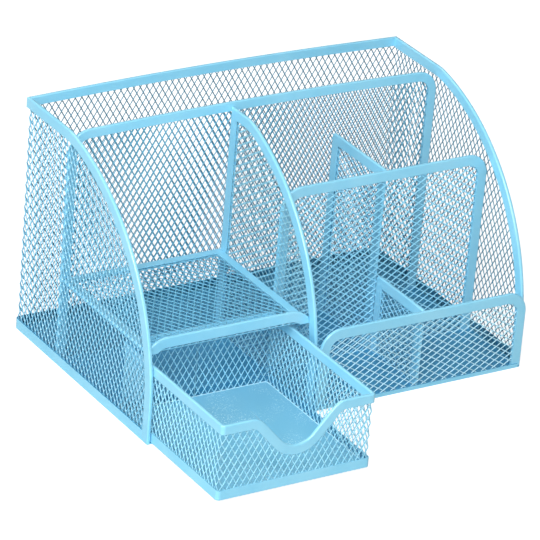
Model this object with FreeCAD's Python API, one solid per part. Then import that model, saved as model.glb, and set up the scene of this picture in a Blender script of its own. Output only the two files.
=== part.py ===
import FreeCAD, Part
import math
import os

# A desk organizer made of expanded-metal mesh panels. The raw edge of every panel is gripped by
# a folded steel channel, the floor is one plain sheet, and a small drawer slides in a bay on the
# left. Millimetres, z up, the front faces -Y, the origin is under the middle of the body.

V = FreeCAD.Vector

# --- driving dimensions --------------------------------------------------------------------
BODY_W = 221.6            # across the two side panels
BODY_D = 141.0            # front lip to the back
BODY_H = 129.4            # table to the top of the side channels
SHEET_T = 0.55            # steel sheet of the floor, the bands and the channels
MESH_T = 0.8              # overall thickness of a mesh panel
RIM_T = MESH_T + 2 * SHEET_T      # a channel wraps the mesh with one sheet on each side
RIM_W = 5.5               # width of a folded channel on the face of a panel
SLIM_RIM_W = 4.9          # the same for the back, rear partition, shelf border and drawer
RIM_SOFT = 0.7            # rounding of the two folded edges of a channel
BAND_H = 5.6              # turned-up band of the floor tray
LIP_H = 2.2               # low turned-up lip of the floor under the front pocket
CORNER_R = 2.5            # outer bend radius where the body turns a corner
PANEL_START = SHEET_T + RIM_T     # side panels begin behind the front lip and the pocket wall
CROWN = 1.7               # the back and the rear partition rise about this at their middle

# Upright panels, placed by their front face measured back from the front of the body.
REAR_WALL_Y = 98.0        # rear partition, full width
REAR_WALL_TOP = BODY_H - 2.4
MID_WALL_Y = 46.0         # middle partition, right of the drawer bay
MID_WALL_DROP = 5.1       # its top lies this far below the side curve beside it
POCKET_WALL_TOP = 43.6    # front pocket wall, just behind the front lip
POCKET_EDGE = 0.6         # it covers the right side channel and stops this far inside
WALL_CORNER_R = 12.0      # rounded top corners of the cross walls
BAY_W = 92.5              # clear width of the drawer bay
CROSS_FROM_RIGHT = 63.3   # middle of the two short walls that halve the pen sections
CROSS_CORNER_R = 2.0

# The curved front edge of the sides and of the bay wall: upright to the knee, a big arc, a soft
# bend, then the level top, which ends at the back of the body or at the rear partition.
SIDE_CURVE = dict(knee=18.0, blend=28.0, level=42.0, end=BODY_D, top=BODY_H)
BAY_CURVE = dict(knee=21.5, blend=28.0, level=13.7, end=REAR_WALL_Y, top=BODY_H - 2.9)

# Drawer, drawn pulled out as it rests.
DRAWER_H = 40.4
DRAWER_OUT = 61.0         # how far the front stands out of the body
SIDE_GAP = 0.4            # clearance to the left side channel
FAR_SIDE_GAP = 5.1        # clearance to the bay wall on the other side
FLOOR_GAP = 0.3           # clearance to the floor sheet it slides on
BACK_GAP = 1.0            # clearance to the rear partition when pushed in
PAN_BAND_H = 5.1          # turned-up band of the drawer pan
DRAWER_R = 2.0            # bend radius of the drawer's corners
DIP_DEPTH = 19.0          # finger dip in the drawer front
DIP_ANGLE = 48.0          # slope of the sides of the dip
DIP_BOTTOM_R = 12.0
DIP_TOP_R = 10.0

# Openings of the mesh panels. The real mesh has diamonds of 4 by 6 mm: here the same diamonds
# are drawn coarse, so that a panel still is one light solid.
CELL_W = 18.2             # a diamond measured across its narrow way, webs included
CELL_L = 29.0             # and along its long way
FINE_SCALE = 0.7          # the smaller panels have smaller diamonds
CELL_OPEN = 0.8           # share of a cell's width and length that is open
LEAST_OPEN = 0.3          # a cell cut by the channel below this share stays closed
FOOT_WEB = 2.5            # closed strip where a panel stands on the floor

# Shelf over the drawer bay. Its front edge is turned up as a low fence.
SHELF_GAP = 4.05          # clearance over the drawer
FENCE_H = 5.8             # top of the fence above the shelf
FENCE_SLOPE = (6.0, 5.0)  # run and drop of the slope at each end of the fence
FENCE_R = (14.0, 4.0)     # rounding at the top and at the foot of that slope

# --- derived positions ---------------------------------------------------------------------
FRONT = -BODY_D / 2
BACK = BODY_D / 2
LEFT = -BODY_W / 2
RIGHT = BODY_W / 2
SKIN = SHEET_T + MESH_T           # outer face of the body to the inner face of its mesh
INNER_L, INNER_R = LEFT + SKIN, RIGHT - SKIN
BAY_WALL_LEFT = LEFT + RIM_T + BAY_W
BAY_WALL_X = BAY_WALL_LEFT + RIM_T
CROSS_WALL_X = RIGHT - CROSS_FROM_RIGHT
DRAWER_W = BAY_W - SIDE_GAP - FAR_SIDE_GAP
DRAWER_D = REAR_WALL_Y - BACK_GAP
SHELF_TOP = SHEET_T + FLOOR_GAP + DRAWER_H + SHELF_GAP + RIM_T
FAR = 400.0


def point(plane, u, v, w):
    """A point of a flat outline: plane xz, yz or xy, w along the normal."""
    return {"xz": V(u, w, v), "yz": V(w, u, v), "xy": V(u, v, w)}[plane]


def thicken(plane, face, t):
    """Give a flat face its thickness along the plane's normal."""
    return face.extrude(point(plane, 0, 0, t))


def box(x0, x1, y0, y1, z0, z1):
    return Part.makeBox(x1 - x0, y1 - y0, z1 - z0, V(x0, y0, z0))


def outline(plane, w, corners):
    """Closed outline through (u, v, r) corners, each rounded by r. Gives its edges in order."""
    n = len(corners)
    cuts = []
    for i, (u, v, r) in enumerate(corners):
        here = V(u, v, 0)
        into = here - V(*corners[i - 1][:2], 0)
        away = V(*corners[(i + 1) % n][:2], 0) - here
        into.normalize()
        away.normalize()
        turn = into.getAngle(away)
        if r < 1e-6 or turn < 1e-6:
            cuts.append((here, None, here))
            continue
        reach = r * math.tan(turn / 2)
        a, b = here - into * reach, here + away * reach
        toward = away - into
        toward.normalize()
        cuts.append((a, here + toward * (r / math.cos(turn / 2) - r), b))
    edges = []
    for i in range(n):
        a, middle, b = cuts[i]
        if middle is not None:
            ends = [point(plane, q.x, q.y, w) for q in (a, middle, b)]
            edges.append(Part.Arc(*ends).toShape())
        nxt = cuts[(i + 1) % n][0]
        if (nxt - b).Length > 1e-6:
            edges.append(Part.makeLine(point(plane, b.x, b.y, w), point(plane, nxt.x, nxt.y, w)))
    return edges


def filled(edges):
    return Part.Face(Part.Wire(Part.__sortEdges__(edges)))


def inset_corners(corners, inset):
    """The same outline moved inwards by inset: outer corners get tighter, inner ones wider."""
    n = len(corners)
    area = sum(corners[i - 1][0] * corners[i][1] - corners[i][0] * corners[i - 1][1]
               for i in range(n))
    side = 1 if area > 0 else -1
    moved = []
    for i, (u, v, r) in enumerate(corners):
        here = V(u, v, 0)
        into = here - V(*corners[i - 1][:2], 0)
        away = V(*corners[(i + 1) % n][:2], 0) - here
        into.normalize()
        away.normalize()
        n1, n2 = V(-into.y, into.x, 0) * side, V(-away.y, away.x, 0) * side
        spot = here + (n1 + n2) * (inset / (1 + n1.dot(n2)))
        outer_corner = into.cross(away).z * side > 0
        moved.append((spot.x, spot.y, max(r - inset, 0.0) if outer_corner else r + inset))
    return moved


def crowned(u0, u1, top, rise, r=0.0):
    """Corners of a top edge from u0 to u1 that rises gently to its middle."""
    half = (u1 - u0) / 2
    lean = math.atan2(2 * rise, half)
    middle = [(u0 + half, top + 2 * rise, 0.8 * half / math.sin(lean))] if rise else []
    return [(u0, top, r)] + middle + [(u1, top, r)]


def arch(plane, w, u0, u1, foot, top, r, inset=0.0, foot_inset=0.0, rise=0.0):
    """Upright panel outline with two rounded top corners; inset leaves the foot where it is."""
    low = foot + foot_inset - inset
    corners = [(u0, low, 0)] + crowned(u0, u1, top, rise, r) + [(u1, low, 0)]
    return outline(plane, w, inset_corners(corners, inset))


def front_curve(curve):
    """Radius of the big arc, and the middle of the soft bend, of a curved front edge."""
    start, top, rb = FRONT + PANEL_START, curve["top"], curve["blend"]
    run, climb = curve["end"] - curve["level"] - PANEL_START, top - rb - curve["knee"]
    radius = (run ** 2 + climb ** 2 - rb ** 2) / (2 * (run - rb))
    return radius, start + run, top - rb


def front_at(curve, z, inset=0.0):
    """How far back the curved front edge lies at height z, on its big arc."""
    radius = front_curve(curve)[0]
    return FRONT + PANEL_START + radius - math.sqrt(
        (radius - inset) ** 2 - (z - curve["knee"]) ** 2)


def height_at(curve, y):
    """Height of the curved front edge at y, on its big arc."""
    radius = front_curve(curve)[0]
    return curve["knee"] + math.sqrt(radius ** 2 - (FRONT + PANEL_START + radius - y) ** 2)


def curved(w, curve, end, foot, inset=0.0, end_inset=0.0):
    """Side-panel outline in the YZ plane: upright front, big arc, soft bend, level top."""
    start = FRONT + PANEL_START
    radius, by, bz = front_curve(curve)
    cy, cz = start + radius, curve["knee"]
    r, rb = radius - inset, curve["blend"] - inset
    top = curve["top"] - inset
    lean = math.atan2(bz - cz, cy - by)
    mid_lean = (lean + math.pi / 2) / 2

    def on(y, z, radius, angle):
        return point("yz", y - radius * math.cos(angle), z + radius * math.sin(angle), w)

    front = start + inset
    stop = end - end_inset
    return [
        Part.makeLine(point("yz", front, foot, w), point("yz", front, cz, w)),
        Part.Arc(on(cy, cz, r, 0), on(cy, cz, r, lean / 2), on(cy, cz, r, lean)).toShape(),
        Part.Arc(on(by, bz, rb, lean), on(by, bz, rb, mid_lean),
                 on(by, bz, rb, math.pi / 2)).toShape(),
        Part.makeLine(point("yz", by, top, w), point("yz", stop, top, w)),
        Part.makeLine(point("yz", stop, top, w), point("yz", stop, foot, w)),
        Part.makeLine(point("yz", stop, foot, w), point("yz", front, foot, w)),
    ]


def diamonds(plane, w, t, clear, upright, scale=FINE_SCALE):
    """Prisms that cut a grid of diamond openings, of length t from w, within a clear outline."""
    across, along = CELL_W * scale, CELL_L * scale
    if not upright:
        across, along = along, across
    clear = filled(clear)
    size = clear.BoundBox
    low, high = V(size.XMin, size.YMin, size.ZMin), V(size.XMax, size.YMax, size.ZMax)
    u_axis, v_axis = plane
    mid = {a: (getattr(low, a) + getattr(high, a)) / 2 for a in plane}
    reach_u = math.ceil((getattr(high, u_axis) - getattr(low, u_axis)) / across)
    reach_v = math.ceil((getattr(high, v_axis) - getattr(low, v_axis)) / along)
    half_u, half_v = CELL_OPEN * across / 2, CELL_OPEN * along / 2
    prisms = []
    for i in range(-reach_u, reach_u + 1):
        for j in range(-reach_v, reach_v + 1):
            if (i + j) % 2:
                continue
            u, v = mid[u_axis] + i * across / 2, mid[v_axis] + j * along / 2
            cell = filled(outline(plane, w, [(u - half_u, v, 0), (u, v - half_v, 0),
                                             (u + half_u, v, 0), (u, v + half_v, 0)]))
            for part in cell.common(clear).Faces:
                if part.Area > LEAST_OPEN * cell.Area:
                    prisms.append(thicken(plane, part, t))
    return prisms


def soften(plane, solid, w, t, soft):
    """Round the folded edges of a channel: those on either face that follow the soft path."""
    path = Part.Compound(soft)
    axis = {"xz": "y", "yz": "x", "xy": "z"}[plane]
    chosen = []
    for edge in solid.Edges:
        m = edge.valueAt((edge.FirstParameter + edge.LastParameter) / 2)
        level = getattr(m, axis)
        if min(abs(level - w), abs(level - w - t)) > 1e-5:
            continue
        flat = V(m)
        setattr(flat, axis, w)
        if Part.Vertex(flat).distToShape(path)[0] < 1e-4:
            chosen.append(edge)
    return solid.makeFillet(RIM_SOFT, chosen)


def channel(plane, w, outer, inner, soft, mesh):
    """Folded channel along the edge of a panel: a strip with a slot that the mesh fills."""
    strip = thicken(plane, filled(outer).cut(filled(inner)), RIM_T)
    return soften(plane, strip, w, RIM_T, soft).cut(mesh)


def wall(plane, w, u0, u1, top, r, upright=False, width=RIM_W, rise=0.0, scale=FINE_SCALE):
    """Cross wall that stands on the floor: its mesh and the channel round three edges."""
    mesh = thicken(plane, filled(arch(plane, w + SHEET_T, u0, u1, SHEET_T, top, r, SHEET_T,
                                      rise=rise)), MESH_T)
    outer = arch(plane, w, u0, u1, SHEET_T, top, r, rise=rise)
    inner = arch(plane, w, u0, u1, SHEET_T, top, r, width, rise=rise)
    rim = channel(plane, w, outer, inner, outer[:-1], mesh)
    clear = arch(plane, w, u0, u1, SHEET_T, top, r, width, FOOT_WEB, rise)
    return mesh.cut(diamonds(plane, w, RIM_T, clear, upright, scale)), rim


def corner_ring(x0, x1, y0, y1, z0, z1, r, inset, t):
    """Four-sided wall with bent corners: outer face inset from the given box, thickness t."""
    def slab(i):
        rr = r - i
        return thicken("xy", filled(outline("xy", z0, [
            (x0 + i, y0 + i, rr), (x1 - i, y0 + i, rr), (x1 - i, y1 - i, rr),
            (x0 + i, y1 - i, rr)])), z1 - z0)
    return slab(inset).cut(slab(inset + t))


parts = {}

# --- floor tray: one sheet, its back and side edges turned up as a band, a low lip in front --
# In front of the drawer bay the sheet stops level with the side channels.
SIDE_FRONT = FRONT + PANEL_START
floor = thicken("xy", filled(outline("xy", 0, [
    (LEFT, SIDE_FRONT, 0), (BAY_WALL_LEFT, SIDE_FRONT, 0), (BAY_WALL_LEFT, FRONT, 0),
    (RIGHT, FRONT, CORNER_R), (RIGHT, BACK, CORNER_R), (LEFT, BACK, CORNER_R)])), SHEET_T)
band = corner_ring(LEFT, RIGHT, FRONT - 20, BACK, 0, BAND_H, CORNER_R, 0, SHEET_T)
band = band.common(box(LEFT, RIGHT, SIDE_FRONT + RIM_W, BACK, 0, BAND_H))
lip = box(BAY_WALL_X, RIGHT - CORNER_R, FRONT, FRONT + SHEET_T, 0, LIP_H)
parts["base_tray"] = floor.fuse([band, lip]).removeSplitter()

# --- outer shell: one mesh sheet bent round the two back corners ------------------------------
shell = corner_ring(LEFT, RIGHT, FRONT - 20, BACK, SHEET_T, BODY_H + 2 * CROWN, CORNER_R, SHEET_T,
                    MESH_T)
side = thicken("yz", filled(curved(LEFT, SIDE_CURVE, BACK, SHEET_T, SHEET_T)), BODY_W)
back = thicken("xz", filled(outline(
    "xz", BACK - SKIN, [(LEFT, SHEET_T, 0)] + crowned(LEFT, RIGHT, BODY_H - SHEET_T, CROWN)
    + [(RIGHT, SHEET_T, 0)])), SKIN)
shell = shell.common(side.fuse(back)).removeSplitter()
clear_side = curved(LEFT, SIDE_CURVE, BACK, BAND_H + SHEET_T, RIM_W, RIM_W)
clear_back = outline("xz", BACK - SKIN, [
    (LEFT + RIM_W, BAND_H + SHEET_T, 0), (LEFT + RIM_W, BODY_H - RIM_W, 0),
    (RIGHT - RIM_W, BODY_H - RIM_W, 0), (RIGHT - RIM_W, BAND_H + SHEET_T, 0)])
parts["shell_mesh"] = shell.cut(diamonds("yz", LEFT, BODY_W, clear_side, True, 1.0)
                                + diamonds("xz", BACK - SKIN, SKIN, clear_back, True, 1.0))


def side_rim(x, keep_out):
    """Channel along the curved front and level top of one side, mitred at the back corner."""
    outer = curved(x, SIDE_CURVE, BACK, SHEET_T)
    inner = curved(x, SIDE_CURVE, BACK, SHEET_T, RIM_W)
    rim = channel("yz", x, outer, inner, outer[:4], shell)
    return rim.cut(keep_out)


def mitre(sign, inside):
    """Triangular cutter over the back corner: the part on one side of the 45 degree line."""
    tip = (sign * (RIGHT - RIM_T), BACK - RIM_T)
    far = (sign * (RIGHT + 1), BACK + 1)
    third = (tip[0], far[1]) if inside else (far[0], tip[1])
    tri = Part.makePolygon([V(*tip, 0), V(*far, 0), V(*third, 0), V(*tip, 0)])
    return Part.Face(tri).extrude(V(0, 0, FAR))


parts["shell_rim_left"] = side_rim(LEFT, mitre(-1, True))
parts["shell_rim_right"] = side_rim(RIGHT - RIM_T, mitre(1, True))
low_edge = crowned(LEFT, RIGHT, BODY_H - SLIM_RIM_W, CROWN)
edges = outline("xz", BACK - RIM_T, crowned(LEFT, RIGHT, BODY_H, CROWN) + low_edge[::-1])
back_rim = soften("xz", thicken("xz", filled(edges), RIM_T), BACK - RIM_T, RIM_T, edges[:3])
parts["shell_rim_back"] = back_rim.cut([shell, mitre(-1, False), mitre(1, False)])

# --- upright walls -----------------------------------------------------------------------------
MESH_SIDE = BAY_WALL_X - SHEET_T          # mesh face of the bay wall, pen side

mesh, rim = wall("xz", FRONT + REAR_WALL_Y, INNER_L, INNER_R, REAR_WALL_TOP, WALL_CORNER_R,
                 True, SLIM_RIM_W, CROWN, 1.0)
parts["rear_partition_mesh"], parts["rear_partition_rim"] = mesh, rim

bay_end = FRONT + REAR_WALL_Y
mesh = thicken("yz", filled(curved(BAY_WALL_LEFT + SHEET_T, BAY_CURVE, bay_end, SHEET_T,
                                   SHEET_T, SHEET_T)), MESH_T)
outer = curved(BAY_WALL_LEFT, BAY_CURVE, bay_end, SHEET_T)
inner = curved(BAY_WALL_LEFT, BAY_CURVE, bay_end, SHEET_T, RIM_W, RIM_W)
parts["bay_divider_rim"] = channel("yz", BAY_WALL_LEFT, outer, inner, outer[:5], mesh)
clear = curved(BAY_WALL_LEFT, BAY_CURVE, bay_end, SHEET_T + FOOT_WEB, RIM_W, RIM_W)
parts["bay_divider_mesh"] = mesh.cut(diamonds("yz", BAY_WALL_LEFT, RIM_T, clear, True))

mid_top = height_at(SIDE_CURVE, FRONT + MID_WALL_Y) - MID_WALL_DROP
mesh, rim = wall("xz", FRONT + MID_WALL_Y, MESH_SIDE, INNER_R, mid_top, WALL_CORNER_R)
parts["mid_partition_mesh"], parts["mid_partition_rim"] = mesh, rim

mesh, rim = wall("xz", FRONT + SHEET_T, BAY_WALL_X, RIGHT - POCKET_EDGE, POCKET_WALL_TOP,
                 WALL_CORNER_R)
parts["pocket_wall_mesh"], parts["pocket_wall_rim"] = mesh, rim

cross_x = CROSS_WALL_X - RIM_T / 2
mesh, rim = wall("yz", cross_x, FRONT + MID_WALL_Y + RIM_T, FRONT + REAR_WALL_Y,
                 mid_top, CROSS_CORNER_R)
parts["rear_cross_wall_mesh"], parts["rear_cross_wall_rim"] = mesh, rim
mesh, rim = wall("yz", cross_x, FRONT + PANEL_START, FRONT + MID_WALL_Y,
                 POCKET_WALL_TOP, CROSS_CORNER_R)
parts["front_cross_wall_mesh"], parts["front_cross_wall_rim"] = mesh, rim

# --- shelf over the drawer bay: mesh floor bent up in front, border channels, fence channel -----
s_left, s_right = INNER_L, BAY_WALL_LEFT
s_front = front_at(SIDE_CURVE, SHELF_TOP, RIM_W) - RIM_T + 0.1
s_back = FRONT + REAR_WALL_Y
s_low = SHELF_TOP - RIM_T
rim_left = LEFT + RIM_T


def fence_outline(w, inset=0.0, foot_inset=0.0):
    """Front view of the shelf's fence: each end slopes down to the side of the bay."""
    low, top = s_low + foot_inset - inset, SHELF_TOP + FENCE_H
    run, drop = FENCE_SLOPE
    ends = [(rim_left, low, 0), (rim_left, top - drop, FENCE_R[1]),
            (rim_left + run, top, FENCE_R[0])]
    other = [(rim_left + s_right - u, v, r) for u, v, r in ends[::-1]]
    return outline("xz", w, inset_corners(ends + other, inset))


shelf_floor = box(s_left + SHEET_T, s_right - SHEET_T, s_front + SHEET_T, s_back - SHEET_T,
                  s_low + SHEET_T, s_low + SKIN)
fence = thicken("xz", filled(fence_outline(s_front + SHEET_T, SHEET_T, SHEET_T)), MESH_T)
shelf = shelf_floor.fuse(fence).removeSplitter()
clear = outline("xy", s_low, [(s_left + RIM_W, s_front + RIM_W, 0),
                              (s_right - RIM_W, s_front + RIM_W, 0),
                              (s_right - RIM_W, s_back - RIM_W, 0),
                              (s_left + RIM_W, s_back - RIM_W, 0)])
parts["shelf_mesh"] = shelf.cut(diamonds("xy", s_low, RIM_T, clear, False))
outer, inner = fence_outline(s_front), fence_outline(s_front, RIM_W, -RIM_W)
parts["shelf_front_rim"] = channel("xz", s_front, outer, inner, outer[:-1], shelf)


def border(corners, wall_side):
    """Flat mitred channel strip of the shelf border, its folded edge against the wall."""
    edges = outline("xy", s_low, [(u, v, 0) for u, v in corners])
    strip = thicken("xy", filled(edges), RIM_T)
    return soften("xy", strip, s_low, RIM_T, [edges[wall_side]]).cut(shelf)


b_front = s_front + RIM_T
parts["shelf_border_left"] = border([
    (s_left, b_front), (s_left, s_back), (s_left + SLIM_RIM_W, s_back - SLIM_RIM_W),
    (s_left + SLIM_RIM_W, b_front)], 0)
parts["shelf_border_right"] = border([
    (s_right, b_front), (s_right, s_back), (s_right - SLIM_RIM_W, s_back - SLIM_RIM_W),
    (s_right - SLIM_RIM_W, b_front)], 0)
parts["shelf_border_back"] = border([
    (s_left, s_back), (s_right, s_back), (s_right - SLIM_RIM_W, s_back - SLIM_RIM_W),
    (s_left + SLIM_RIM_W, s_back - SLIM_RIM_W)], 0)

# --- drawer ------------------------------------------------------------------------------------
d_x0 = LEFT + RIM_T + SIDE_GAP
d_x1 = d_x0 + DRAWER_W
d_y0 = FRONT - DRAWER_OUT
d_y1 = d_y0 + DRAWER_D
d_z0 = SHEET_T + FLOOR_GAP
d_z1 = d_z0 + DRAWER_H
d_mid = (d_x0 + d_x1) / 2


def dipped(y, inset, low):
    """Front outline in the XZ plane with the finger dip, top edge inset, foot at low."""
    slope = math.radians(DIP_ANGLE)
    top = d_z1 - inset
    sharp = d_z1 - DIP_DEPTH - DIP_BOTTOM_R * (1 / math.cos(slope) - 1) - inset / math.cos(slope)
    half = (top - sharp) / math.tan(slope)
    return outline("xz", y, [
        (d_x0, low, 0), (d_x0, top, 0), (d_mid - half, top, DIP_TOP_R - inset),
        (d_mid, sharp, DIP_BOTTOM_R + inset), (d_mid + half, top, DIP_TOP_R - inset),
        (d_x1, top, 0), (d_x1, low, 0)])


pan = thicken("xy", filled(outline("xy", d_z0, [
    (d_x0, d_y0, DRAWER_R), (d_x1, d_y0, DRAWER_R), (d_x1, d_y1, DRAWER_R),
    (d_x0, d_y1, DRAWER_R)])), SHEET_T)
pan_band = corner_ring(d_x0, d_x1, d_y0, d_y1, d_z0, d_z0 + PAN_BAND_H, DRAWER_R, 0, SHEET_T)
parts["drawer_pan"] = pan.fuse(pan_band).removeSplitter()

split = d_y0 + DRAWER_R + 1
low = d_z0 + SHEET_T
front_zone = thicken("xz", filled(dipped(d_y0, SHEET_T, low)), split - d_y0)
rest_zone = box(d_x0, d_x1, split, d_y1, low, d_z1 - SHEET_T)
net = corner_ring(d_x0, d_x1, d_y0, d_y1, low, d_z1, DRAWER_R, SHEET_T, MESH_T)
net = net.common(front_zone.fuse(rest_zone)).removeSplitter()
d_low, d_top = d_z0 + PAN_BAND_H + SHEET_T, d_z1 - SLIM_RIM_W
cut_front = filled(dipped(d_y0, SLIM_RIM_W, d_low)).common(filled(outline("xz", d_y0, [
    (d_x0 + RIM_W, d_low, 0), (d_x0 + RIM_W, d_z1, 0), (d_x1 - RIM_W, d_z1, 0),
    (d_x1 - RIM_W, d_low, 0)])))
cut_back = outline("xz", d_y1 - RIM_T, [
    (d_x0 + RIM_W, d_low, 0), (d_x0 + RIM_W, d_top, 0), (d_x1 - RIM_W, d_top, 0),
    (d_x1 - RIM_W, d_low, 0)])
cut_side = outline("yz", d_x0, [
    (d_y0 + RIM_W, d_low, 0), (d_y0 + RIM_W, d_top, 0), (d_y1 - RIM_W, d_top, 0),
    (d_y1 - RIM_W, d_low, 0)])
parts["drawer_wall_mesh"] = net.cut(
    diamonds("xz", d_y0, RIM_T, cut_front.Edges, True)
    + diamonds("xz", d_y1 - RIM_T, RIM_T, cut_back, True)
    + diamonds("yz", d_x0, DRAWER_W, cut_side, True))

front_zone = thicken("xz", filled(dipped(d_y0, 0, low)).cut(filled(dipped(d_y0, SLIM_RIM_W, low))),
                     split - d_y0)
rest_zone = box(d_x0, d_x1, split, d_y1, d_z1 - SLIM_RIM_W, d_z1)
hoop = corner_ring(d_x0, d_x1, d_y0, d_y1, d_z0, d_z1, DRAWER_R, 0, RIM_T)
hoop = hoop.common(front_zone.fuse(rest_zone)).removeSplitter()
top_path = Part.Compound(dipped(0, 0, low)[1:-2])
folds = []
for edge in hoop.Edges:
    m = edge.valueAt((edge.FirstParameter + edge.LastParameter) / 2)
    on_face = min(abs(m.y - d_y0), abs(m.y - d_y0 - RIM_T)) < 1e-5
    if on_face and Part.Vertex(V(m.x, 0, m.z)).distToShape(top_path)[0] < 1e-4:
        folds.append(edge)
    elif not on_face and abs(m.z - d_z1) < 1e-5:
        folds.append(edge)
parts["drawer_top_rim"] = hoop.makeFillet(RIM_SOFT, folds).cut(net)

# --- write one STEP file per piece ---------------------------------------------------------------
os.makedirs("parts", exist_ok=True)
for name, shape in parts.items():
    solids = shape.Solids
    shape = solids[0] if len(solids) == 1 else Part.Compound(solids)
    print(name, len(solids), "solid(s), volume", round(shape.Volume, 1), "mm3, valid",
          shape.isValid())
    shape.exportStep(f"parts/{name}.step")
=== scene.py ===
# %% [markdown]
# # A mesh desk organizer with a drawer
# The real object is made of expanded steel mesh: thin sheet that is slit in rows and pulled
# open until the slits become diamonds. The raw edge of each panel is gripped by a folded
# channel, the floor and the pan of the drawer are plain sheet, and everything is coated with
# sky blue powder. This script loads the engineered model as a fixed frame, replaces each
# coarse mesh sheet by real strands, and then adds the paint, the light and the camera. Lengths
# are in metres, so a length that is thought of in millimetres is written as a number times MM.

import collections
import math

import bpy
from mathutils import Matrix, Vector


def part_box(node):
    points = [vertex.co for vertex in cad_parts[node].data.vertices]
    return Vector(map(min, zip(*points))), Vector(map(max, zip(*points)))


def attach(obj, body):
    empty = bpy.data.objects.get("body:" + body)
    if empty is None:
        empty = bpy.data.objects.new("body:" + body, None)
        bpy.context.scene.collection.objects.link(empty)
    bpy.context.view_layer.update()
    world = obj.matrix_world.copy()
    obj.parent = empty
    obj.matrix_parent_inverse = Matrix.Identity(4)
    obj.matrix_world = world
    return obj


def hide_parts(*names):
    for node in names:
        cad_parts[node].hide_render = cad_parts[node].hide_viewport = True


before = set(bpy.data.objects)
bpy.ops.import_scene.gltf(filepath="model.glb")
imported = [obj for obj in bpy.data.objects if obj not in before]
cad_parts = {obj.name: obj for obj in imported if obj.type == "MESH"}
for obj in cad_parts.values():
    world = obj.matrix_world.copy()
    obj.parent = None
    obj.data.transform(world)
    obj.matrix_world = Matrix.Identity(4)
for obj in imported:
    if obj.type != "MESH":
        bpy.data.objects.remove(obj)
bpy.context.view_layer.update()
scene = bpy.context.scene
scene.view_settings.view_transform = "Standard"
MM = 0.001
print("frame:", len(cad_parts), "pieces of sheet and channel")

# %% [markdown]
# ## Reading a panel's outline
# Each mesh sheet in the frame already has the right outline, with its curves and its finger
# dip. A flat view of it is all that the strands need: the border of the triangles that look one
# way. An edge between two triangles is met twice, once in each direction, so an edge that has no
# partner is on the border. The sheet's coarse openings have borders of their own, but the walk
# starts at the corner that is furthest left and so goes round the outside.

# %% Outline of a flat sheet
SAME_WAY = 0.999           # least cosine between two directions that count as one
SAME_LEVEL = 0.05 * MM     # most distance between two faces that count as one level


def border_of(node, u, v, out, level=None):
    """The outer border of a node's faces that look along out, as (u, v) points in order."""
    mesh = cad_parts[node].data
    steps = {}
    for tri in mesh.polygons:
        if tri.normal.dot(out) < SAME_WAY:
            continue
        if level is not None and abs(tri.center.dot(out) - level) > SAME_LEVEL:
            continue
        spots = [mesh.vertices[i].co for i in tri.vertices]
        flat = [(round(co.dot(u) / MM, 3), round(co.dot(v) / MM, 3)) for co in spots]
        for i in range(3):
            steps[(flat[i], flat[(i + 1) % 3])] = True
    ahead = {a: b for a, b in steps if (b, a) not in steps}
    start = min(ahead)
    loop, here = [start], ahead[start]
    while here != start:
        loop.append(here)
        here = ahead[here]
    return [Vector(p) * MM for p in loop]


UP = Vector((0, 0, 1))
ALONG_X = Vector((1, 0, 0))
ALONG_Y = Vector((0, 1, 0))
bay_wall_view = border_of("bay_divider_mesh", ALONG_Y, UP, ALONG_X)
print("points round the bay wall:", len(bay_wall_view))

# %% [markdown]
# ## Fewer corners
# A curve in the frame is a run of many short edges, and the shears below make one cut for each
# edge. Points that lie almost on a straight line are left out first: a run is split at the point
# that is furthest from its chord, and each half is treated in the same way, until what is left
# out is within a quarter of a millimetre. The last helper counts how often a line from a point
# to the right crosses the outline: an odd number means that the point is inside.

# %% Fewer corners
OFF_CURVE = 0.25 * MM      # how far an outline may stray from the frame's own


def simpler(points, tolerance):
    """The open run of points with those left out that lie almost on a straight line."""
    first, last = points[0], points[-1]
    along = (last - first).normalized()
    across = Vector((-along.y, along.x))
    off = [abs((p - first).dot(across)) for p in points]
    worst = max(range(len(points)), key=off.__getitem__)
    if off[worst] < tolerance:
        return [first, last]
    return simpler(points[:worst + 1], tolerance)[:-1] + simpler(points[worst:], tolerance)


def few_corners(loop):
    """A closed outline with few corners, starting at the same one."""
    far = max(range(len(loop)), key=lambda i: (loop[i] - loop[0]).length)
    there, back = loop[:far + 1], loop[far:] + loop[:1]
    return simpler(there, OFF_CURVE)[:-1] + simpler(back, OFF_CURVE)[:-1]


def holds(outline, p):
    """True if the point lies within the outline."""
    inside = False
    for a, b in zip(outline, outline[1:] + outline[:1]):
        if (a.y > p.y) != (b.y > p.y) and p.x < a.x + (p.y - a.y) * (b.x - a.x) / (b.y - a.y):
            inside = not inside
    return inside


def flat_box(points):
    """The lower left and upper right corner of the box round some flat points."""
    low = Vector((min(p.x for p in points), min(p.y for p in points)))
    high = Vector((max(p.x for p in points), max(p.y for p in points)))
    return low, high


print("corners of the bay wall:", len(few_corners(bay_wall_view)))

# %% [markdown]
# ## Choosing what an operator acts on
# An operator works on whatever is selected, as it does by hand. One helper makes an object the
# only one that is selected. The other selects some faces or edges of a mesh by their number and
# opens the mesh for editing.

# %% Selecting
def only(obj):
    """Make this the one selected object."""
    bpy.ops.object.select_all(action="DESELECT")
    obj.select_set(True)
    bpy.context.view_layer.objects.active = obj


def pick(obj, faces=(), edges=()):
    """Select these faces or edges of a mesh, by number, and nothing else."""
    bpy.ops.object.mode_set(mode="OBJECT")
    mesh = obj.data
    for group in (mesh.polygons, mesh.edges, mesh.vertices):
        group.foreach_set("select", [False] * len(group))
    for i in faces:
        mesh.polygons[i].select = True
    for i in edges:
        mesh.edges[i].select = True
    bpy.ops.object.mode_set(mode="EDIT")


only(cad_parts["shell_mesh"])
print("selected:", bpy.context.active_object.name)

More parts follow.
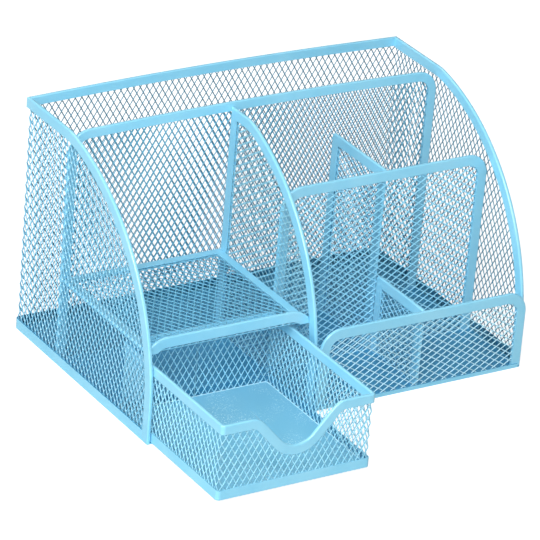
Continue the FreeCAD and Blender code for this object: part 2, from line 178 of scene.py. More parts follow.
# %% [markdown]
# ## A sheet of diamonds
# The diamonds could be drawn one by one, but a grid of rectangles becomes a sheet of them in two
# strokes: poke puts a point in the middle of each rectangle, and taking the upright and level
# edges inside the sheet away leaves the slanted ones. A rectangle is as wide and as high as one
# diamond. The value of pull makes the diamonds narrower or wider, and shift starts the sheet a
# part of a cell outside its panel, because two meshes that are seen one through the other look
# open only where their diamonds meet.

# %% A sheet of diamonds
CELL_SHORT = 3.85 * MM     # a diamond measured across its narrow way
CELL_LONG = 6.08 * MM      # and along its long way
STRAIGHT = 0.001 * MM      # most slant of an edge that counts as upright or level


def diamonds(name, low, high, upright, pull=1.0, shift=(0, 0)):
    """A flat sheet of diamonds over the low and high corners, moved by parts of a cell."""
    short = CELL_SHORT * pull
    cell = (short, CELL_LONG) if upright else (CELL_LONG, short)
    size = high - low
    count = [max(2, round(size[i] / cell[i])) for i in range(2)]
    if shift != (0, 0):
        cell = Vector((size[0] / count[0], size[1] / count[1]))
        count = [n + 1 for n in count]
        low = low - Vector((cell[0] * shift[0], cell[1] * shift[1]))
        size = Vector((cell[0] * count[0], cell[1] * count[1]))
        high = low + size
    bpy.ops.object.select_all(action="DESELECT")
    bpy.ops.mesh.primitive_grid_add(x_subdivisions=count[0], y_subdivisions=count[1], size=1)
    sheet = bpy.context.active_object
    sheet.name = name
    bpy.ops.object.mode_set(mode="EDIT")
    bpy.ops.transform.resize(value=(size[0], size[1], 1))
    middle = (low + high) / 2
    bpy.ops.transform.translate(value=(middle[0], middle[1], 0))
    bpy.ops.mesh.poke()
    bpy.ops.object.mode_set(mode="OBJECT")
    mesh = sheet.data
    uses = collections.Counter(key for face in mesh.polygons for key in face.edge_keys)
    straight = []
    for edge in mesh.edges:
        a, b = (mesh.vertices[i].co for i in edge.vertices)
        if min(abs(a.x - b.x), abs(a.y - b.y)) < STRAIGHT and uses[edge.key] == 2:
            straight.append(edge.index)
    pick(sheet, edges=straight)
    bpy.ops.mesh.select_mode(type="EDGE")
    bpy.ops.mesh.dissolve_edges(use_verts=False)
    bpy.ops.mesh.select_mode(type="FACE")
    bpy.ops.object.mode_set(mode="OBJECT")
    return sheet


print("a diamond is", round(CELL_SHORT / MM, 2), "by", round(CELL_LONG / MM, 2), "mm")

# %% [markdown]
# ## Trimming the sheet
# The real panel is cut with shears along its outline. Bisect cuts all that is selected with an
# endless plane, so only the diamonds near one side of the outline are selected for its cut.
# What then lies outside is deleted.

# %% Shears
ON_EDGE = 0.01 * MM        # a side this near the edge of the sheet needs no cut
BLADE = 0.6 * CELL_LONG    # diamonds whose middle is nearer to the cut than this are cut


def on_sheet_edge(a, b, low, high):
    """True if the side from a to b runs along an edge of the sheet."""
    for i in range(2):
        if abs(a[i] - b[i]) < ON_EDGE and min(abs(a[i] - low[i]), abs(a[i] - high[i])) < ON_EDGE:
            return True
    return False


def along_and_across(a, b):
    """The direction from a to b, and the one that is square to it."""
    along = (b - a).normalized()
    return along, Vector((along.y, -along.x))


def under_blade(sheet, a, b):
    """The numbers of the faces that lie near the side from a to b."""
    length = (b - a).length
    along, across = along_and_across(a, b)
    near = []
    for face in sheet.data.polygons:
        away = face.center.xy - a
        if -CELL_LONG < away.dot(along) < length + CELL_LONG and abs(away.dot(across)) < BLADE:
            near.append(face.index)
    return near


def trim(sheet, outline):
    """Cut a flat sheet of diamonds to a closed outline."""
    low, high = flat_box([v.co for v in sheet.data.vertices])
    for a, b in zip(outline, outline[1:] + outline[:1]):
        near = under_blade(sheet, a, b)
        if on_sheet_edge(a, b, low, high) or not near:
            continue
        across = along_and_across(a, b)[1]
        pick(sheet, faces=near)
        bpy.ops.mesh.bisect(plane_co=(a.x, a.y, 0), plane_no=(across.x, across.y, 0))
        bpy.ops.object.mode_set(mode="OBJECT")
    waste = [f.index for f in sheet.data.polygons if not holds(outline, f.center.xy)]
    if waste:
        pick(sheet, faces=waste)
        bpy.ops.mesh.delete(type="FACE")
        bpy.ops.object.mode_set(mode="OBJECT")
    print(sheet.name, "has", len(sheet.data.polygons), "diamonds and parts of diamonds")


print("the blade reaches", round(BLADE / MM, 2), "mm to each side")

# %% [markdown]
# ## Strands
# When the slits open, each strand turns on its long side: it is a thin ribbon that may lean, and
# then the mesh looks closed from one side and open from the other. Solid strands could be swept
# along each edge, but the Wireframe modifier gives every edge of a diamond a slim four-sided
# strand in one go. The sheet is then pressed to its thickness. For a lean, every point slides
# sideways by lean times its distance from the middle of the sheet. The shear operator needs a
# window, so that slide is done point by point.

# %% From edges to ribbons
STRAND_W = 0.59 * MM       # width of a strand on the face of the sheet
STRAND_DEPTH = 0.62 * MM   # thickness of the sheet of strands
DEEP_STRAND = 0.78 * MM    # the same where the strands are turned more


def ribbons(sheet, lean, upright, depth=STRAND_DEPTH):
    """Turn the edges of the diamonds to ribbons that lean."""
    only(sheet)
    wires = sheet.modifiers.new("strands", "WIREFRAME")
    wires.thickness = STRAND_W
    wires.offset = 0
    wires.use_even_offset = True
    wires.use_replace = True
    wires.use_boundary = True
    bpy.ops.object.modifier_apply(modifier=wires.name)
    bpy.ops.object.mode_set(mode="EDIT")
    bpy.ops.mesh.select_all(action="SELECT")
    bpy.ops.transform.resize(value=(1, 1, depth / STRAND_W))
    bpy.ops.object.mode_set(mode="OBJECT")
    axis = 0 if upright else 1
    for v in sheet.data.vertices:
        v.co[axis] += v.co.z * lean
    print(sheet.name, "has", len(sheet.data.polygons), "faces")


print("a strand is", round(STRAND_W / MM, 2), "by", round(STRAND_DEPTH / MM, 2), "mm")

# %% [markdown]
# ## Handing a panel over
# A finished panel gets sharp edges where its faces meet at more than 50 degrees. It rides on a
# body of the frame, so that it moves with it, and it replaces the frame's coarse sheet of the
# same panel.

# %% Handing over
SMOOTH = math.radians(50)
panels = []


def finish_panel(sheet, node, body):
    """The strands take the place of the frame's coarse sheet."""
    only(sheet)
    bpy.ops.object.shade_smooth_by_angle(angle=SMOOTH)
    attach(sheet, body)
    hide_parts(node)
    panels.append(sheet)
    return sheet


print("panels finished:", len(panels))

# %% [markdown]
# ## The flat panels
# The partitions, the pocket wall, the bay wall and the short cross walls stand in the frame as
# flat sheets. Each is made lying down, in its own width and height, because grids and cuts are
# simplest there, and it is then stood up in its place. Its place is applied to the mesh, so that
# the object itself sits unturned at the origin.

# %% Standing a sheet up
FACINGS = {
    "front": (ALONG_X, UP, -ALONG_Y),       # width along X, seen from the front
    "side": (ALONG_Y, UP, ALONG_X),         # width along Y, seen from the right
}


def stand_up(sheet, facing, distance):
    """Stand a flat sheet up so that it faces front or side, at a distance that way."""
    u, v, out = FACINGS[facing]
    stand = Matrix((u, v, out)).transposed().to_4x4()
    stand.translation = out * distance
    only(sheet)
    sheet.matrix_world = stand
    bpy.ops.object.transform_apply(location=True, rotation=True, scale=True)


def panel(node, facing, upright, lean=0.0, pull=1.0, depth=STRAND_DEPTH, shift=(0, 0)):
    """Strands in the outline of a flat sheet of the frame."""
    u, v, out = FACINGS[facing]
    outline = few_corners(border_of(node, u, v, out))
    low, high = flat_box(outline)
    sheet = diamonds(node.replace("_mesh", "_strands"), low, high, upright, pull, shift)
    trim(sheet, outline)
    ribbons(sheet, lean, upright, depth)
    box_low, box_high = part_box(node)
    middle = (Vector(box_low) + Vector(box_high)) / 2
    stand_up(sheet, facing, middle.dot(out))
    return finish_panel(sheet, node, "organizer")


print("ways to stand:", ", ".join(FACINGS))

# %% [markdown]
# ## Six panels
# The mesh stands upright in the rear partition: its diamonds are taller than wide. In the other
# flat panels it lies level. Not all sheets are pulled open by the same amount, and the strands of
# the walls that run from front to back are turned the most. The rear partition is shifted,
# because it is seen in front of the shell's back.

# %% Six flat panels
panel("rear_partition_mesh", "front", upright=True, pull=0.945, shift=(0.75, 0.75))
panel("mid_partition_mesh", "front", upright=False, lean=-0.4)
panel("pocket_wall_mesh", "front", upright=False, pull=1.03)
panel("bay_divider_mesh", "side", upright=False, lean=-1.2, depth=DEEP_STRAND)
panel("rear_cross_wall_mesh", "side", upright=False, lean=-0.6, depth=DEEP_STRAND)
panel("front_cross_wall_mesh", "side", upright=False, lean=-0.6, depth=DEEP_STRAND)
print("flat panels:", len(panels))

# %% [markdown]
# ## Sheets that are bent
# The outer shell is one sheet that goes round both back corners, and the drawer's wall goes
# round four. They could be put together from flat walls, but then the diamonds wouldn't run on
# round a corner. So a sheet is cut flat, its strands are made, and then it is bent along a path,
# as on a folding machine. The path starts as one point that is extruded from corner to corner.
# A vertex bevel rounds its corners, and it is converted to a curve. The curve may come out back
# to front, and it is then turned round.

# %% A path with round corners
BEND_STEPS = 6             # short straight pieces in each round corner
SAME_SPOT = 0.001 * MM     # two points nearer than this are the same


def line_through(name, spots):
    """A line of mesh edges through the spots."""
    bpy.ops.object.select_all(action="DESELECT")
    bpy.ops.mesh.primitive_plane_add(size=MM)
    line = bpy.context.active_object
    line.name = name
    bpy.ops.object.mode_set(mode="EDIT")
    bpy.ops.mesh.select_mode(type="VERT")
    bpy.ops.mesh.select_all(action="SELECT")
    bpy.ops.mesh.merge(type="CENTER")
    bpy.ops.mesh.select_all(action="SELECT")
    bpy.ops.transform.translate(value=spots[0])
    for here, there in zip(spots, spots[1:]):
        step = tuple(Vector(there) - Vector(here))
        bpy.ops.mesh.extrude_vertices_move(TRANSFORM_OT_translate={"value": step})
    bpy.ops.object.mode_set(mode="OBJECT")
    return line


def round_corners(line, ends, radius):
    """Round every corner of a line but its two ends."""
    for v in line.data.vertices:
        v.select = all((v.co - end).length > SAME_SPOT for end in ends)
    bpy.ops.object.mode_set(mode="EDIT")
    bpy.ops.mesh.select_mode(type="VERT")
    bpy.ops.mesh.bevel(offset=radius, offset_type="OFFSET", segments=BEND_STEPS,
                       affect="VERTICES")
    bpy.ops.object.mode_set(mode="OBJECT")


def points_of(curve):
    """The points of a curve in order."""
    return [p.co.xyz for p in curve.data.splines[0].points]


def path_round(name, spots, radius):
    """A curve through the spots with round corners, for a sheet to follow, and its length."""
    line = line_through(name, spots)
    ends = (Vector(spots[0]), Vector(spots[-1]))
    round_corners(line, ends, radius)
    only(line)
    bpy.ops.object.convert(target="CURVE")
    if (points_of(line)[0] - ends[0]).length > SAME_SPOT:
        only(line)
        bpy.ops.object.mode_set(mode="EDIT")
        bpy.ops.curve.select_all(action="SELECT")
        bpy.ops.curve.switch_direction()
        bpy.ops.object.mode_set(mode="OBJECT")
    points = points_of(line)
    length = sum((b - a).length for a, b in zip(points, points[1:]))
    return line, length


print("a round corner has", BEND_STEPS, "pieces")

# %% [markdown]
# ## Laying a sheet along its path
# The Curve modifier lays what runs along a mesh's X on the curve and keeps what stands up along
# Z. A sheet is made lying down, so it first makes a quarter turn. When the modifier is applied,
# the path has done its work and is removed.

# %% Bending
QUARTER_TURN = math.pi / 2


def bend(sheet, line):
    """Stand a flat sheet up and lay its length along the line."""
    only(sheet)
    bpy.ops.object.mode_set(mode="EDIT")
    bpy.ops.mesh.select_all(action="SELECT")
    bpy.ops.transform.rotate(value=-QUARTER_TURN, orient_axis="X", center_override=(0, 0, 0))
    bpy.ops.object.mode_set(mode="OBJECT")
    fold = sheet.modifiers.new("fold", "CURVE")
    fold.object = line
    fold.deform_axis = "POS_X"
    bpy.ops.object.modifier_apply(modifier=fold.name)
    bpy.data.objects.remove(line)


print("flat panels so far:", len(panels))

# %% [markdown]
# ## The path of the shell
# A bent sheet keeps its length at the middle of its thickness, so the path runs there: half a
# sheet inside the frame's outer skin, from the left front edge round both back corners to the
# right front edge.

# %% The path of the shell
SHEET_DEPTH = 0.8 * MM     # thickness of a mesh sheet in the frame
HALF_SHEET = SHEET_DEPTH / 2
SHELL_BEND = 1.55 * MM     # radius of the shell's corners, at the middle of the sheet
shell_low, shell_high = (Vector(p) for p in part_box("shell_mesh"))
left_x = shell_low.x + HALF_SHEET
right_x = shell_high.x - HALF_SHEET
back_y = shell_high.y - HALF_SHEET
front_y = shell_low.y
spots = [(left_x, front_y, 0), (left_x, back_y, 0), (right_x, back_y, 0), (right_x, front_y, 0)]
shell_path, shell_length = path_round("shell_path", spots, SHELL_BEND)
print("path of the shell:", round(shell_length / MM, 2), "mm")

# %% [markdown]
# ## The outer shell
# Laid flat, the shell is one long strip. Its two ends have the curved front edges of the sides,
# and its middle has the low crown of the back. The frame shows these edges in its views from the
# left and from behind, and they are joined to one outline. The right end is the left end turned
# over.

# %% The outer shell
def above(view, level):
    """The points of a flat view that lie above a level."""
    return [p for p in view if p.y > level + ON_EDGE]


left_view = border_of("shell_mesh", ALONG_Y, UP, -ALONG_X, level=-shell_low.x)
back_view = border_of("shell_mesh", ALONG_X, UP, ALONG_Y, level=shell_high.y)
low_z = min(p.y for p in left_view)
curve = sorted(above(left_view, low_z), key=lambda p: (p.x, p.y))
left_end = [Vector((p.x - front_y, p.y)) for p in curve]
right_end = [Vector((shell_length - p.x, p.y)) for p in left_end[::-1]]
crown = sorted(above(back_view, low_z), key=lambda p: p.x)
over_back = [Vector((shell_length / 2 + p.x, p.y)) for p in crown]
first, last = Vector((0, low_z)), Vector((shell_length, low_z))
strip = [first] + left_end + over_back + right_end + [last]
top_z = max(p.y for p in strip)
sheet = diamonds("shell_strands", first, Vector((shell_length, top_z)), upright=True, pull=0.982)
trim(sheet, few_corners(strip))
ribbons(sheet, lean=0.0, upright=True)
bend(sheet, shell_path)
shell = finish_panel(sheet, "shell_mesh", "organizer")

# %% [markdown]
# ## The drawer's wall
# The wall of the drawer is a strip as well. Its path starts in the middle of the drawer's back,
# goes round all four corners and ends where it started. So the seam comes at the back, where it
# shows least, and the finger dip lies in the middle of the strip.

# %% The drawer's wall
DRAWER_BEND = 1.05 * MM    # radius of the drawer's corners, at the middle of the sheet
low, high = (Vector(p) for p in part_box("drawer_wall_mesh"))
x0, y0 = low.x + HALF_SHEET, low.y + HALF_SHEET
x1, y1 = high.x - HALF_SHEET, high.y - HALF_SHEET
middle_x = (x0 + x1) / 2
seam = (middle_x, y1, 0)
spots = [seam, (x1, y1, 0), (x1, y0, 0), (x0, y0, 0), (x0, y1, 0), seam]
drawer_path, wall_length = path_round("drawer_path", spots, DRAWER_BEND)
front_view = border_of("drawer_wall_mesh", ALONG_X, UP, -ALONG_Y, level=-low.y)
dip = sorted(above(front_view, low.z), key=lambda p: -p.x)
over_front = [Vector((wall_length / 2 + middle_x - p.x, p.y)) for p in dip]
start = [Vector((0, low.z)), Vector((0, high.z))]
end = [Vector((wall_length, high.z)), Vector((wall_length, low.z))]
sheet = diamonds("drawer_strands", start[0], end[0], upright=True)
trim(sheet, start + over_front + end)
ribbons(sheet, lean=0.0, upright=True)
bend(sheet, drawer_path)
finish_panel(sheet, "drawer_wall_mesh", "drawer")
print("wall of the drawer:", round(wall_length / MM, 2), "mm round")

# %% [markdown]
# ## The shelf
# The shelf over the drawer is a sheet whose front is folded up as a low fence. One fold needs no
# path: a level sheet and a standing one are made and then joined to one piece.

# %% The shelf
low, high = (Vector(p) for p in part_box("shelf_mesh"))
shelf = diamonds("shelf_strands", low.xy, high.xy, upright=True, pull=1.05)
ribbons(shelf, lean=0.0, upright=True)
shelf.matrix_world = Matrix.Translation((0, 0, low.z + HALF_SHEET))
bpy.ops.object.transform_apply(location=True, rotation=True, scale=True)
fence_view = few_corners(border_of("shelf_mesh", ALONG_X, UP, -ALONG_Y, level=-low.y))
fence = diamonds("fence_strands", Vector((low.x, low.z)), Vector((high.x, high.z)), upright=True)
trim(fence, fence_view)
ribbons(fence, lean=0.0, upright=True)
stand_up(fence, "front", -(low.y + HALF_SHEET))
only(shelf)
fence.select_set(True)
bpy.ops.object.join()
finish_panel(shelf, "shelf_mesh", "organizer")
print("panels finished:", len(panels))

# %% [markdown]
# ## Paint
# Powder coat is a thick paint that is blown on as powder and baked. It is fairly glossy, with a
# slow wave called orange peel and a fine grain. Its look could come from painted pictures, but
# noise nodes need no unwrapping of the strands and stay sharp from near by. A few helpers add the
# nodes that are used again and again.

# %% Helpers for nodes
def noise(tree, where, scale, detail, rough):
    """A noise texture, in waves per metre."""
    node = tree.nodes.new("ShaderNodeTexNoise")
    node.inputs["Scale"].default_value = scale
    node.inputs["Detail"].default_value = detail
    node.inputs["Roughness"].default_value = rough
    tree.links.new(where, node.inputs["Vector"])
    return node.outputs["Fac"]


def spread(tree, value, low, high):
    """Stretch the values between low and high to the range from 0 to 1."""
    node = tree.nodes.new("ShaderNodeMapRange")
    node.interpolation_type = "SMOOTHSTEP"
    node.inputs["From Min"].default_value = low
    node.inputs["From Max"].default_value = high
    tree.links.new(value, node.inputs["Value"])
    return node.outputs["Result"]


def times(tree, value, factor):
    """A value times a factor, which is a number or the output of a node."""
    node = tree.nodes.new("ShaderNodeMath")
    node.operation = "MULTIPLY"
    tree.links.new(value, node.inputs[0])
    if isinstance(factor, float):
        node.inputs[1].default_value = factor
    else:
        tree.links.new(factor, node.inputs[1])
    return node.outputs[0]


def new_group(name, enters, leaves):
    """An empty node group with its sockets, and its two end nodes."""
    tree = bpy.data.node_groups.new(name, "ShaderNodeTree")
    for title, kind in enters:
        tree.interface.new_socket(title, in_out="INPUT", socket_type="NodeSocket" + kind)
    for title, kind in leaves:
        tree.interface.new_socket(title, in_out="OUTPUT", socket_type="NodeSocket" + kind)
    return tree, tree.nodes.new("NodeGroupInput"), tree.nodes.new("NodeGroupOutput")


print("a noise with waves of 1 mm has scale", round(1 / MM))

# %% [markdown]
# ## The grain of powder coat
# What all coats share is made once, in a node group. Its normal is a bump of orange peel and
# grain, as strong as the material asks for. Its masks are slow patches, in which one tone turns
# into another, and fine specks that show only in some areas. The colours are left to the
# materials.

# %% The grain of powder coat
PEEL_WAVES = 700           # waves per metre of the orange peel
GRAIN_WAVES = 4000         # of the fine grain
GRAIN_PART = 0.35          # height of the grain as a part of the peel's
BUMP_HEIGHT = 0.02 * MM
PATCH_WAVES = 60           # of the slow patches
SPECK_WAVES = 1700         # of the specks
AREA_WAVES = 45            # of the areas with specks


def powder_grain():
    """A node group with the normal, the slow patches and the specks of powder coat."""
    tree, enter, leave = new_group(
        "powder_grain", [("Peel", "Float")],
        [("Normal", "Vector"), ("Patches", "Float"), ("Specks", "Float")])
    where = tree.nodes.new("ShaderNodeTexCoord").outputs["Object"]
    height = tree.nodes.new("ShaderNodeMath")
    height.operation = "MULTIPLY_ADD"
    height.inputs[1].default_value = GRAIN_PART
    tree.links.new(noise(tree, where, GRAIN_WAVES, detail=2, rough=0.6), height.inputs[0])
    tree.links.new(noise(tree, where, PEEL_WAVES, detail=2, rough=0.5), height.inputs[2])
    bump = tree.nodes.new("ShaderNodeBump")
    bump.inputs["Distance"].default_value = BUMP_HEIGHT
    tree.links.new(enter.outputs["Peel"], bump.inputs["Strength"])
    tree.links.new(height.outputs[0], bump.inputs["Height"])
    tree.links.new(bump.outputs["Normal"], leave.inputs["Normal"])
    slow = noise(tree, where, PATCH_WAVES, detail=3, rough=0.5)
    tree.links.new(spread(tree, slow, low=0.3, high=0.7), leave.inputs["Patches"])
    fine = noise(tree, where, SPECK_WAVES, detail=1, rough=0.4)
    areas = noise(tree, where, AREA_WAVES, detail=1, rough=0.4)
    specks = times(tree, spread(tree, fine, low=0.60, high=0.68),
                   spread(tree, areas, low=0.40, high=0.62))
    tree.links.new(specks, leave.inputs["Specks"])
    return tree


grain_group = powder_grain()
print("node group:", grain_group.name)

# %% [markdown]
# ## Painted highlight on upper sides, painted shade on undersides
# The upper side of a strand catches the light and its underside lies in shade. A strand is so
# thin that this change is easily lost, so it is painted into the colour: a second group tells the
# sides apart by how far the surface looks up or down, and each coat has a painted highlight tone
# for upper sides and a painted shade tone for undersides.

# %% Painted highlight on upper sides, painted shade on undersides
def painted_light_and_shade():
    """A node group for painted light: Upper is 1 where the surface looks up, for the painted
    highlight, and Under is 1 where it looks down, for painted shade.
    """
    tree, _, leave = new_group("painted_light_and_shade", [], [("Upper", "Float"), ("Under", "Float")])
    facing = tree.nodes.new("ShaderNodeNewGeometry").outputs["Normal"]
    parts = tree.nodes.new("ShaderNodeSeparateXYZ")
    tree.links.new(facing, parts.inputs[0])
    upper = spread(tree, parts.outputs["Z"], low=0.05, high=0.65)
    under = spread(tree, parts.outputs["Z"], low=-0.05, high=-0.5)
    tree.links.new(upper, leave.inputs["Upper"])
    tree.links.new(under, leave.inputs["Under"])
    return tree


light_and_shade_group = painted_light_and_shade()
print("node group:", light_and_shade_group.name)

# %% [markdown]
# ## The inside of an open box
# The floor tray and the pan of the drawer are open boxes of plain sheet, and their insides get
# painted shade, a darker tone than their outsides. Faces could be picked one by one, but a mask
# finds them: a face of the inside looks towards a point above the middle of the box, and a face
# of the outside doesn't.

# %% The inside of an open box
SURE = 1.0 * MM            # a face turned at least this far towards the point is wholly inside


def inside_of_box():
    """A node group: 1 on the faces that look towards the point Middle, else 0."""
    tree, enter, leave = new_group("inside_of_box", [("Middle", "Vector")], [("Inside", "Float")])
    where = tree.nodes.new("ShaderNodeTexCoord")
    inward = tree.nodes.new("ShaderNodeVectorMath")
    inward.operation = "SUBTRACT"
    tree.links.new(enter.outputs["Middle"], inward.inputs[0])
    tree.links.new(where.outputs["Object"], inward.inputs[1])
    facing = tree.nodes.new("ShaderNodeVectorMath")
    facing.operation = "DOT_PRODUCT"
    tree.links.new(inward.outputs[0], facing.inputs[0])
    tree.links.new(where.outputs["Normal"], facing.inputs[1])
    inside = spread(tree, facing.outputs["Value"], low=0.0, high=SURE)
    tree.links.new(inside, leave.inputs["Inside"])
    return tree


inside_group = inside_of_box()
print("node group:", inside_group.name)

# %% [markdown]
# ## One recipe for every coat
# All coats are one recipe with other values: two tones that drift into each other, a painted
# highlight tone for upper sides and a painted shade tone for undersides, each with its share, and
# light specks. The shader's own coat layer adds the second, smoother shine that baked paint has.

# %% The recipe
BLUE = (0.265, 0.69, 0.92)
PALE = (0.315, 0.73, 0.94)
# the colour of the light specks, and of the painted highlight on upper sides of strands
SPECK_AND_HIGHLIGHT = (0.56, 0.86, 0.965)
# the deep blue of painted shade, on undersides and inside the open boxes
PAINTED_SHADE = (0.035, 0.21, 0.37)
SHINE_ROUGH = 0.2          # roughness of the second shine


def blend(tree, factor, low, high):
    """Mix two colours, each given as numbers or as the output of a node."""
    node = tree.nodes.new("ShaderNodeMix")
    node.data_type = "RGBA"
    tree.links.new(factor, node.inputs["Factor"])
    for socket, colour in ((node.inputs["A"], low), (node.inputs["B"], high)):
        if isinstance(colour, tuple):
            socket.default_value = (*colour, 1)
        else:
            tree.links.new(colour, socket)
    return node.outputs["Result"]


def use_group(tree, shared):
    """A node of the tree that stands for a shared group."""
    node = tree.nodes.new("ShaderNodeGroup")
    node.node_tree = shared
    return node


def coat(name, rough, gloss, peel, specks, tones, upper, under):
    """Powder coat between two tones, with a painted highlight tone and its share for upper sides
    and a painted shade tone and its share for undersides.
    """
    m = bpy.data.materials.new(name)
    m.use_nodes = True
    tree = m.node_tree
    shader = tree.nodes["Principled BSDF"]
    shader.inputs["Roughness"].default_value = rough
    shader.inputs["Coat Weight"].default_value = gloss
    shader.inputs["Coat Roughness"].default_value = SHINE_ROUGH
    grain = use_group(tree, grain_group)
    grain.inputs["Peel"].default_value = peel
    tree.links.new(grain.outputs["Normal"], shader.inputs["Normal"])
    side = use_group(tree, light_and_shade_group)
    colour = blend(tree, grain.outputs["Patches"], *tones)
    # painted highlight on faces that look up
    colour = blend(tree, times(tree, side.outputs["Upper"], upper[1]), colour, upper[0])
    # painted shade on faces that look down
    colour = blend(tree, times(tree, side.outputs["Under"], under[1]), colour, under[0])
    colour = blend(tree, times(tree, grain.outputs["Specks"], specks), colour, SPECK_AND_HIGHLIGHT)
    tree.links.new(colour, shader.inputs["Base Color"])
    return m


# the channels get a painted highlight: their faces that look up are drawn partly towards the pale
# tone
channel_coat = coat("channel_powder_coat", rough=0.30, gloss=0.8, peel=0.5, specks=0.05,
                    tones=(BLUE, PALE), upper=(PALE, 0.3), under=(BLUE, 0.0))
print("made", channel_coat.name)

# %% [markdown]
# ## The coats of the tray and the pan
# A plain sheet is flatter than a channel and shows more of the peel. The outside of the box has
# the two tones of the channels. Inside, shade is painted in: its floor has a darker tone of its
# own and its upright sides are painted deep blue, for the shade of the mesh that they stand in.
# The tones are chosen.

# %% The coats of the tray and the pan
LOOKOUT = 40 * MM          # height of the point that the inside of a box looks towards


def box_coat(name, node, specks, painted_shade_floor):
    """Powder coat of an open box of plain sheet, with painted shade in its inside."""
    m = coat(name, rough=0.38, gloss=0.25, peel=0.8, specks=0.0,
             tones=(BLUE, PALE), upper=(PALE, 0.0), under=(BLUE, 0.0))
    tree = m.node_tree
    shader = tree.nodes["Principled BSDF"]
    outer = shader.inputs["Base Color"].links[0].from_socket
    low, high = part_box(node)
    inside = use_group(tree, inside_group)
    inside.inputs["Middle"].default_value = (
        (low[0] + high[0]) / 2, (low[1] + high[1]) / 2, low[2] + LOOKOUT)
    # painted shade: the inside's floor gets the given darker tone and its upright sides deep blue
    inside_painted_shade = blend(tree, use_group(tree, light_and_shade_group).outputs["Upper"], PAINTED_SHADE, painted_shade_floor)
    spots = times(tree, use_group(tree, grain_group).outputs["Specks"], specks)
    # the real light specks of the powder go over the painted shade
    painted_shade_and_specks = blend(tree, spots, inside_painted_shade, SPECK_AND_HIGHLIGHT)
    colour = blend(tree, inside.outputs["Inside"], outer, painted_shade_and_specks)
    tree.links.new(colour, shader.inputs["Base Color"])
    return m


# the inner tones are painted shade, darker than the coat outside
tray_coat = box_coat("tray_powder_coat", "base_tray", 0.15, painted_shade_floor=(0.075, 0.36, 0.60))
pan_coat = box_coat("pan_powder_coat", "drawer_pan", 1.0, painted_shade_floor=(0.21, 0.57, 0.77))
print("made", tray_coat.name, "and", pan_coat.name)

# %% [markdown]
# ## The coats of the strands, with painted light and shade
# The real strands have the same coat as the channels. But how light a thin strand looks depends
# on its exact twist and on the paint at its edges, which are simplified here, and on how the
# light falls on it. So light and shade are painted into the strands: each panel gets a lit or
# shaded copy of the coat, in tones that are chosen, dark for the shell and lighter for what
# stands in it.

# %% The coats of the strands, with painted light and shade
# painted light: the coat's own tone with a strong painted highlight on upper sides, for the
# pocket wall and the drawer
painted_highlight_coat = coat("painted_highlight_strand_coat", rough=0.30, gloss=0.5, peel=0.3, specks=0.0,
                   tones=((0.30, 0.71, 0.90), (0.35, 0.75, 0.92)),
                   upper=(SPECK_AND_HIGHLIGHT, 0.8), under=(PAINTED_SHADE, 0.35))
# painted shade: a darker copy of the coat, for the rear partition and the shelf
painted_half_shade_coat = coat("painted_half_shade_strand_coat", rough=0.34, gloss=0.4, peel=0.3, specks=0.0,
                  tones=((0.10, 0.37, 0.54), (0.13, 0.41, 0.58)),
                  upper=(BLUE, 0.5), under=(PAINTED_SHADE, 0.8))
# painted shade: the darkest copy of the coat, for the shell
painted_shade_coat = coat("painted_shade_strand_coat", rough=0.30, gloss=0.4, peel=0.3, specks=0.0,
                 tones=((0.055, 0.20, 0.29), (0.07, 0.23, 0.33)),
                 upper=(BLUE, 0.3), under=((0.03, 0.14, 0.22), 0.9))
# painted light: the palest copy of the coat, for the bay wall, with a little painted shade on
# undersides
painted_light_coat = coat("painted_light_strand_coat", rough=0.34, gloss=0.4, peel=0.3, specks=0.0,
                 tones=((0.42, 0.82, 0.96), (0.46, 0.85, 0.97)),
                 upper=(SPECK_AND_HIGHLIGHT, 0.3), under=(PALE, 0.2))
# painted light: a lighter copy than the shell's, with a full painted highlight, for the shell's
# left flank, which faces the light
flank_painted_light_coat = coat("flank_painted_light_strand_coat", rough=0.30, gloss=0.4, peel=0.3, specks=0.0,
                  tones=((0.17, 0.50, 0.70), (0.21, 0.54, 0.74)),
                  upper=(SPECK_AND_HIGHLIGHT, 1.0), under=(PAINTED_SHADE, 0.4))
strand_coats = (painted_highlight_coat, painted_half_shade_coat, painted_shade_coat, painted_light_coat, flank_painted_light_coat)
print("made", ", ".join(m.name for m in strand_coats))

# %% [markdown]
# ## Which piece gets which coat
# Every piece of the frame that still shows is a channel or a plain sheet. Each panel of strands
# has one coat, but the left side of the shell faces the light, and its faces get a second
# material, a copy of the coat with painted light.

# %% Which piece gets which coat
SHEET_COATS = {"base_tray": tray_coat, "drawer_pan": pan_coat}
STRAND_COATS = {
    "shell_strands": painted_shade_coat, "rear_partition_strands": painted_half_shade_coat,
    "mid_partition_strands": channel_coat, "pocket_wall_strands": painted_highlight_coat,
    "drawer_strands": painted_highlight_coat, "bay_divider_strands": painted_light_coat,
    "rear_cross_wall_strands": channel_coat, "front_cross_wall_strands": channel_coat,
    "shelf_strands": painted_half_shade_coat,
}
FLANK_REACH = 2 * MM       # faces this near the middle of the left sheet belong to it
for name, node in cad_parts.items():
    node.data.materials.clear()
    node.data.materials.append(SHEET_COATS.get(name, channel_coat))
for sheet in panels:
    sheet.data.materials.clear()
    sheet.data.materials.append(STRAND_COATS[sheet.name])
# the faces of the shell's left flank get the copy of the coat with painted light
shell.data.materials.append(flank_painted_light_coat)
for face in shell.data.polygons:
    face.material_index = int(face.center.x < left_x + FLANK_REACH)
dressed = panels + list(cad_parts.values())
in_use = {m.name for piece in dressed for m in piece.data.materials}
print("coats in use:", len(in_use))

# %% [markdown]
# ## The camera
# The camera stands two metres away, in front and to the left, and looks down through a long lens,
# so the near corners look only a little larger than the far ones. It could be turned by angles,
# but its three directions, set side by side in a matrix, leave no doubt about how it is turned.

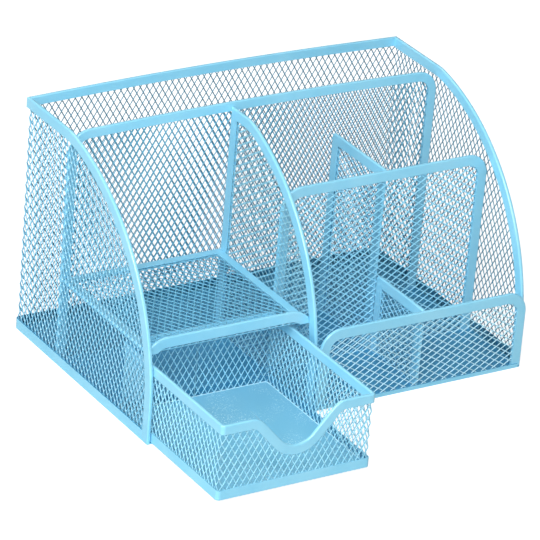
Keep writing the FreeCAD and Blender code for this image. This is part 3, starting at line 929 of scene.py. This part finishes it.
# %% The camera
EYE = Vector((-1.0205, -1.5447, 0.9392))
RIGHT = Vector((0.8525428, -0.51690837, 0.07730795))
ABOVE = Vector((0.16695749, 0.4095039, 0.89690119))
FORWARD = Vector((0.49527364, 0.75173951, -0.43542132))
SENSOR = 36.0              # width of the film, in millimetres
LENS = 267.97              # focal length, in millimetres
NEAREST = 0.1              # what is nearer than this, in metres, isn't drawn
FURTHEST = 50.0            # nor what is further away than this
bpy.ops.object.camera_add()
camera = bpy.context.active_object
camera.name = "camera"
camera.data.sensor_width = SENSOR
camera.data.lens = LENS
camera.data.clip_start = NEAREST
camera.data.clip_end = FURTHEST
pose = Matrix((RIGHT, ABOVE, -FORWARD)).transposed().to_4x4()
pose.translation = EYE
camera.matrix_world = pose
scene.camera = camera
print("camera", round(EYE.length, 2), "m from the middle of the floor")

# %% [markdown]
# ## The white floor
# The organizer stands on white. A floor that only the lamps light comes out grey, so it also
# glows. The Light Path node lets it glow for the camera alone, and so it throws no extra light on
# the undersides of the strands.

# %% The white floor
FLOOR_SIZE = 6.0           # metres
FLOOR_GREY = 0.5           # how much of the light the floor throws back
FLOOR_GLOW = 0.75          # strength of its glow
FLOOR_ROUGH = 0.9
BLACK = (0, 0, 0)
WHITE = (1, 1, 1)


def seen_directly(tree):
    """1 where the camera looks straight at the surface, else 0."""
    return tree.nodes.new("ShaderNodeLightPath").outputs["Is Camera Ray"]


bpy.ops.mesh.primitive_plane_add(size=FLOOR_SIZE, location=(0, 0, 0))
floor = bpy.context.active_object
floor.name = "floor"
board = bpy.data.materials.new("white_floor")
board.use_nodes = True
tree = board.node_tree
shader = tree.nodes["Principled BSDF"]
shader.inputs["Base Color"].default_value = (FLOOR_GREY, FLOOR_GREY, FLOOR_GREY, 1)
shader.inputs["Roughness"].default_value = FLOOR_ROUGH
shader.inputs["Specular IOR Level"].default_value = 0.0
shader.inputs["Emission Strength"].default_value = FLOOR_GLOW
glow = blend(tree, seen_directly(tree), BLACK, WHITE)
tree.links.new(glow, shader.inputs["Emission Color"])
floor.data.materials.append(board)
print("floor", FLOOR_SIZE, "m wide")

# %% [markdown]
# ## The world
# The world around is white too. The camera sees it at full strength, but as a light it is weak,
# so that the lamps can shape the channels.

# %% The world
SKY_LIGHT = 0.21           # strength of the world as a light
SKY_SEEN = 1.0             # and as the camera sees it
world = bpy.data.worlds.new("studio")
scene.world = world
world.use_nodes = True
tree = world.node_tree
sky = tree.nodes["Background"]
sky.inputs["Color"].default_value = (*WHITE, 1)
strength = tree.nodes.new("ShaderNodeMix")
strength.inputs["A"].default_value = SKY_LIGHT
strength.inputs["B"].default_value = SKY_SEEN
tree.links.new(seen_directly(tree), strength.inputs["Factor"])
tree.links.new(strength.outputs["Result"], sky.inputs["Strength"])
print("world", world.name, "with strength", SKY_LIGHT)

# %% [markdown]
# ## The lamps
# Three square lamps light the organizer: the key lamp from the front left, a lower one for the
# left side, and one above and behind for the tops of the channels. Square lamps of more than half
# a metre give soft shadows, where points of light would draw every strand on the floor. All three
# look at the middle of the organizer.

# %% The lamps
TARGET = (0, 0, 0.05)      # metres, the middle of the organizer


def softbox(name, place, size, power):
    """A square lamp that looks at the target, with its size in metres and its power in watts."""
    bpy.ops.object.light_add(type="AREA", location=place)
    lamp = bpy.context.active_object
    lamp.name = name
    lamp.data.size = size
    lamp.data.energy = power
    aim = Vector(TARGET) - Vector(place)
    lamp.rotation_euler = aim.to_track_quat("-Z", "Y").to_euler()
    print(name, power, "W")


softbox("key_lamp", (-0.75, -1.0, 1.05), size=0.7, power=23)
softbox("left_lamp", (-1.6, -0.3, 0.5), size=0.6, power=9.5)
softbox("top_lamp", (0.15, 0.9, 1.5), size=0.9, power=6)
